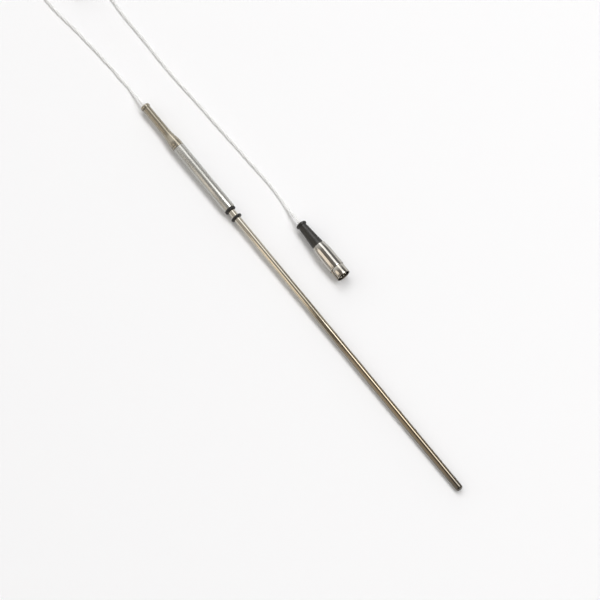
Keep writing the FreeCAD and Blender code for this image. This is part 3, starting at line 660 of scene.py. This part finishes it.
def half_shell(name, side):
    """Half of the shell: a strip round its own side, stepped from the rear tube out to the shroud.

    The key half's strip dips into a rounded dent for the socket's key, along the shroud alone. The latch
    half carries the tab.
    """
    shape = bmesh.new()
    half_turn = math.radians(180 - SHELL_SPLIT)
    middle = math.radians(KEY_ANGLE if side > 0 else KEY_ANGLE + 180)
    angles = [middle + half_turn * (step / SHELL_STEPS - 0.5) for step in range(SHELL_STEPS + 1)]
    strip = [shape.verts.new((0, -math.sin(angle), math.cos(angle))) for angle in angles]
    edges = [shape.edges.new(pair) for pair in zip(strip, strip[1:])]

    def set_ring(verts, x, radius, dented):
        for vert in verts:
            off = (around(vert.co) - KEY_ANGLE + 180) % 360 - 180
            away = abs(math.radians(off)) * radius
            dip = min(max((KEY_HALF + KEY_SLOPE / 2 - away) / KEY_SLOPE, 0), 1) if dented else 0
            vert.co = Vector((x, *(vert.co.yz.normalized() * (radius - KEY_DEPTH * dip))))

    # The rear tube, the step, the shroud, and its rounded lip
    keyed = side > 0
    stations = [(SHELL_BACK, SHELL_R, False), (SHELL_STEP, SHELL_R, False), (SLEEVE_FRONT, SHROUD_R, keyed),
                (-0.45, SHROUD_R, keyed), (-0.18, SHROUD_R - 0.02, keyed), (0.0, SHROUD_R - 0.13, keyed)]
    set_ring(strip, *stations[0])
    for station in stations[1:]:
        grown = bmesh.ops.extrude_edge_only(shape, edges=edges)["geom"]
        edges = [item for item in grown if isinstance(item, bmesh.types.BMEdge)]
        set_ring([item for item in grown if isinstance(item, bmesh.types.BMVert)], *station)
    bmesh.ops.recalc_face_normals(shape, faces=shape.faces[:])
    outward = sum(f.normal.yz.dot(f.calc_center_median().yz) for f in shape.faces)
    if outward < 0:
        bmesh.ops.reverse_faces(shape, faces=shape.faces[:])
    bmesh.ops.solidify(shape, geom=shape.faces[:], thickness=SHELL_WALL)
    if not keyed:
        add_block(shape, *TAB, turn=Matrix.Rotation(math.radians(LATCH_ANGLE), 3, "X"))
    on_plug(name, shape, "shell_nickel")


half_shell("plug_shell_key", 1)
half_shell("plug_shell_latch", -1)

PINS, PIN_CIRCLE_R, PIN_PITCH = 5, 3.5, 45.0
PIN_R, CUP_R = 0.725, 0.55
PIN_FRONT, CUP_FLOOR, PIN_BACK = -1.2, -18.5, -21.5


def plug_pin(index):
    """A pin with a rounded tip and a solder cup at its back, the middle one across from the key."""
    pin = turned_shape([(CUP_FLOOR, 0), (CUP_FLOOR, CUP_R), (PIN_BACK, CUP_R, HAIRLINE),
                        (PIN_BACK, PIN_R, HAIRLINE), (PIN_FRONT, PIN_R, 0.5), (PIN_FRONT, 0)],
                       closed=False, steps=32)
    angle = math.radians(KEY_ANGLE + 180 + (index - PINS // 2) * PIN_PITCH)
    place = Vector((0, -math.sin(angle) * PIN_CIRCLE_R, math.cos(angle) * PIN_CIRCLE_R))
    bmesh.ops.translate(pin, vec=place, verts=pin.verts[:])
    on_plug(f"plug_pin_{index + 1}", pin, "pin_silver")


for index in range(PINS):
    plug_pin(index)

# The tie goes round the coil's turns on the side towards the probe's tip. Its section is drawn across X
TIE_INNER, TIE_OUTER, TIE_LOW, TIE_HIGH = 7.55, 19.3, 0.25, 11.0
TIE_CORNER, TIE_WIDTH, TIE_THICKNESS = 1.1, 4.0, 0.25
TIE_ANGLE = -45
# Place, size and edge of the locking head and of the cut tail
TIE_HEAD = ((13.5, 0, 12.4), (4.6, 5.0, 2.8), 0.5)
TIE_TAIL = ((9.7, 0, 11.9), (3.6, 3.8, 0.6), 0.12)
TEETH, FIRST_TOOTH, TOOTH_PITCH, TOOTH_MIDDLE = 7, 8.3, 0.45, 12.25
TOOTH_SIZE, TOOTH_EDGE = (0.22, 2.6, 0.22), 0.05


def coil_tie():
    """A toothed nylon strap round the turns, through a locking head, with its cut tail standing out."""
    shape = bmesh.new()
    cut = TIE_CORNER
    corners = [(TIE_OUTER - cut, TIE_LOW), (TIE_OUTER, TIE_LOW + cut), (TIE_OUTER, TIE_HIGH - cut),
               (TIE_OUTER - cut, TIE_HIGH), (TIE_INNER + cut, TIE_HIGH), (TIE_INNER, TIE_HIGH - cut),
               (TIE_INNER, TIE_LOW + cut), (TIE_INNER + cut, TIE_LOW)]
    loop = [shape.verts.new((x, -TIE_WIDTH / 2, z)) for x, z in corners]
    for pair in zip(loop, loop[1:] + loop[:1]):
        shape.edges.new(pair)
    round_off(shape, loop, 0.4, "VERTICES")
    grown = bmesh.ops.extrude_edge_only(shape, edges=shape.edges[:])["geom"]
    far_side = [item for item in grown if isinstance(item, bmesh.types.BMVert)]
    bmesh.ops.translate(shape, vec=(0, TIE_WIDTH, 0), verts=far_side)
    bmesh.ops.recalc_face_normals(shape, faces=shape.faces[:])
    bmesh.ops.solidify(shape, geom=shape.faces[:], thickness=-TIE_THICKNESS)
    add_block(shape, *TIE_HEAD)
    add_block(shape, *TIE_TAIL)
    for tooth in range(TEETH):
        place = (FIRST_TOOTH + TOOTH_PITCH * tooth, 0, TOOTH_MIDDLE)
        add_block(shape, place, TOOTH_SIZE, TOOTH_EDGE)
    middle = Matrix.Translation((COIL_CENTRE[0] * MM, COIL_CENTRE[1] * MM, 0))
    place = middle @ Matrix.Rotation(math.radians(TIE_ANGLE), 4, "Z")
    return add_piece("coil_tie_moulded", shape, place, "probe", "tie_nylon", ["coil_tie"])


tie = coil_tie()
lead()


# Stage, in metres and degrees. A lamp's angle is its lean from overhead towards +Y, its spread is how wide it
# is seen from the object, and its ends are places along X

LAMP_DISTANCE = 4.0
LAMP_ENDS = (-4.5, 4.5)
FRONT_ANGLE, FRONT_SPREAD, FRONT_RADIANCE = 26.0, 28.0, 1.7
MIDDLE_ANGLE, MIDDLE_SPREAD, MIDDLE_RADIANCE = 24.0, 22.0, 3.55
FILL_ANGLE, FILL_SPREAD, FILL_RADIANCE = -38.0, 60.0, 0.22
CARD_DISTANCE = 0.8
CARD_COLOUR = "FFF4E6"
CARD_ANGLE, CARD_SPREAD, CARD_RADIANCE = -57.0, 42.0, 1.42
CARD_ENDS = (-0.45, -0.26)
PALE_ANGLE, PALE_SPREAD, PALE_RADIANCE = -62.0, 54.0, 0.78
PALE_ENDS = (-0.17, 0.27)
STRIP_RADIANCE = 4.0
STRIP_ENDS = (-0.21, 0.27)

# The room's colours from the -Y horizon, over the top, to the +Y horizon
ROOM_ACROSS = [(0.0, "7C7770"), (0.07, "726D66"), (0.32, "706A63"), (0.52, "767472"), (0.66, "6C6C6C"),
               (0.90, "6C6C6C"), (0.97, "C8C8C8"), (1.0, "E0E0E0")]
ROOM_LIGHT = 1.6
# How far towards -X and +X the room's ends begin and are full, and how bright each is
LEFT_SPAN, LEFT_GREY = (-0.42, -0.6), 0.75
RIGHT_SPAN, RIGHT_GREY = (0.3, 0.6), 0.15
BACKDROP = (0.93, 0.93, 0.93, 1.0)

FLOOR_SIZE = 24.0
# The picture's right and the way back to the camera, as the photo shows the probe and the plug
VIEW_RIGHT = Vector((0.6096, 0.7927, 0.0)).normalized()
VIEW_BACK = Vector((0.2918, -0.2244, 0.9298)).normalized()
VIEW_MIDDLE = Vector((-0.00035, -0.00185, 0.0))
VIEW_WIDTH = 0.5208
VIEW_DISTANCE = 23.0
FAR_CLIP = 100.0
SENSOR_MM = 36.0


def floor():
    """A plain matt board, larger than any picture of the part shows."""
    mesh = bpy.data.meshes.new("floor")
    shape = bmesh.new()
    bmesh.ops.create_grid(shape, x_segments=1, y_segments=1, size=FLOOR_SIZE / 2)
    shape.to_mesh(mesh)
    shape.free()
    plane = put("floor", mesh)
    # Matt white board: even, with no shine at all, so that it stays pale and plain
    material, _, shader = new_material("matt_white_board", "F7F7F7", 0.9)
    shader.inputs["Specular IOR Level"].default_value = 0.0
    mesh.materials.append(material)


def camera():
    """A far camera with a long lens, because the photo shows hardly any perspective."""
    data = bpy.data.cameras.new("camera")
    data.sensor_width = SENSOR_MM
    data.lens = SENSOR_MM * VIEW_DISTANCE / VIEW_WIDTH
    data.clip_end = FAR_CLIP
    eye = put("camera", data)
    turn = Matrix((VIEW_RIGHT, VIEW_BACK.cross(VIEW_RIGHT), VIEW_BACK)).transposed().to_4x4()
    eye.matrix_world = Matrix.Translation(VIEW_MIDDLE + VIEW_BACK * VIEW_DISTANCE) @ turn
    bpy.context.scene.camera = eye


def softbox(name, angle, distance, spread, ends, radiance, colour="FFFFFF"):
    """A long soft lamp beside the X axis, facing it, and as bright from anywhere as its radiance."""
    lean = math.radians(angle)
    middle = Vector((sum(ends) / 2, 0, 0))
    width = 2 * distance * math.tan(math.radians(spread / 2))
    length = ends[1] - ends[0]
    data = bpy.data.lights.new(name, "AREA")
    data.shape = "RECTANGLE"
    data.size, data.size_y = length, width
    data.energy = radiance * math.pi * length * width
    data.color = linear(colour)[:3]
    light = put(name, data)
    along, back = Vector((1, 0, 0)), Vector((0, math.sin(lean), math.cos(lean)))
    facing = Matrix((along, back.cross(along), back)).transposed().to_4x4()
    light.matrix_world = Matrix.Translation(middle + back * distance) @ facing
    light.visible_camera = False
    return light


def surroundings():
    """A pale room, dim overhead and behind the key lamp, warm towards -Y, bright at -X and dim at +X.

    The camera sees a plain white instead.
    """
    world = bpy.data.worlds.new("studio")
    bpy.context.scene.world = world
    world.use_nodes = True
    tree = world.node_tree
    tree.nodes.clear()
    heading = add(tree, "ShaderNodeTexCoord").outputs["Generated"]
    parts = add(tree, "ShaderNodeSeparateXYZ", links={"Vector": heading})
    angle = add(tree, "ShaderNodeMath", {"operation": "ARCTAN2"},
                {0: parts.outputs["Y"], 1: parts.outputs["Z"]})
    share = add(tree, "ShaderNodeMapRange", span(0.0, 1.0, -math.pi / 2, math.pi / 2),
                {"Value": angle.outputs[0]})
    across = add(tree, "ShaderNodeValToRGB", {"stops": ROOM_ACROSS}, {"Fac": share.outputs[0]})
    colour = across.outputs["Color"]
    for (near, far), grey in ((LEFT_SPAN, LEFT_GREY), (RIGHT_SPAN, RIGHT_GREY)):
        towards = add(tree, "ShaderNodeMapRange", span(0.0, 1.0, near, far), {"Value": parts.outputs["X"]})
        blend = add(tree, "ShaderNodeMix", {"data_type": "RGBA", 7: [grey] * 3 + [1.0]},
                    {"Factor": towards.outputs[0], 6: colour})
        colour = blend.outputs[2]
    room = add(tree, "ShaderNodeBackground", {"Strength": ROOM_LIGHT}, {"Color": colour})
    white = add(tree, "ShaderNodeBackground", {"Color": BACKDROP, "Strength": 1.0})
    rays = add(tree, "ShaderNodeLightPath")
    mix = add(tree, "ShaderNodeMixShader", links={"Fac": rays.outputs["Is Camera Ray"], 1: room.outputs[0],
                                                  2: white.outputs[0]})
    add(tree, "ShaderNodeOutputWorld", links={"Surface": mix.outputs[0]})


def studio():
    """Floor, camera, lamps and room."""
    floor()
    camera()
    # The key lamp in two: its even front is what the metal reflects, and its bright middle lights the floor
    # and all that is dull
    front = softbox("key_front", FRONT_ANGLE, LAMP_DISTANCE, FRONT_SPREAD, LAMP_ENDS, FRONT_RADIANCE)
    front.visible_diffuse = False
    middle = softbox("key_middle", MIDDLE_ANGLE, LAMP_DISTANCE, MIDDLE_SPREAD, LAMP_ENDS, MIDDLE_RADIANCE,
                     "FDFDFF")
    middle.visible_glossy = False
    # A fill from the other side, that lifts the shadows
    fill = softbox("fill", FILL_ANGLE, LAMP_DISTANCE, FILL_SPREAD, LAMP_ENDS, FILL_RADIANCE)
    fill.visible_glossy = False
    # A warm card low beyond -Y, which lights nothing and is only reflected
    card = softbox("warm_card", CARD_ANGLE, CARD_DISTANCE, CARD_SPREAD, CARD_ENDS, CARD_RADIANCE, CARD_COLOUR)
    card.visible_diffuse = False
    # Further towards +X, a paler card and a bright strip, which are only reflected too
    pale = softbox("pale_card", PALE_ANGLE, CARD_DISTANCE, PALE_SPREAD, PALE_ENDS, PALE_RADIANCE, CARD_COLOUR)
    pale.visible_diffuse = False
    strip = softbox("near_strip", FRONT_ANGLE, CARD_DISTANCE, FRONT_SPREAD, STRIP_ENDS, STRIP_RADIANCE)
    strip.visible_diffuse = False
    surroundings()
    bpy.context.scene.view_settings.view_transform = "Standard"


studio()
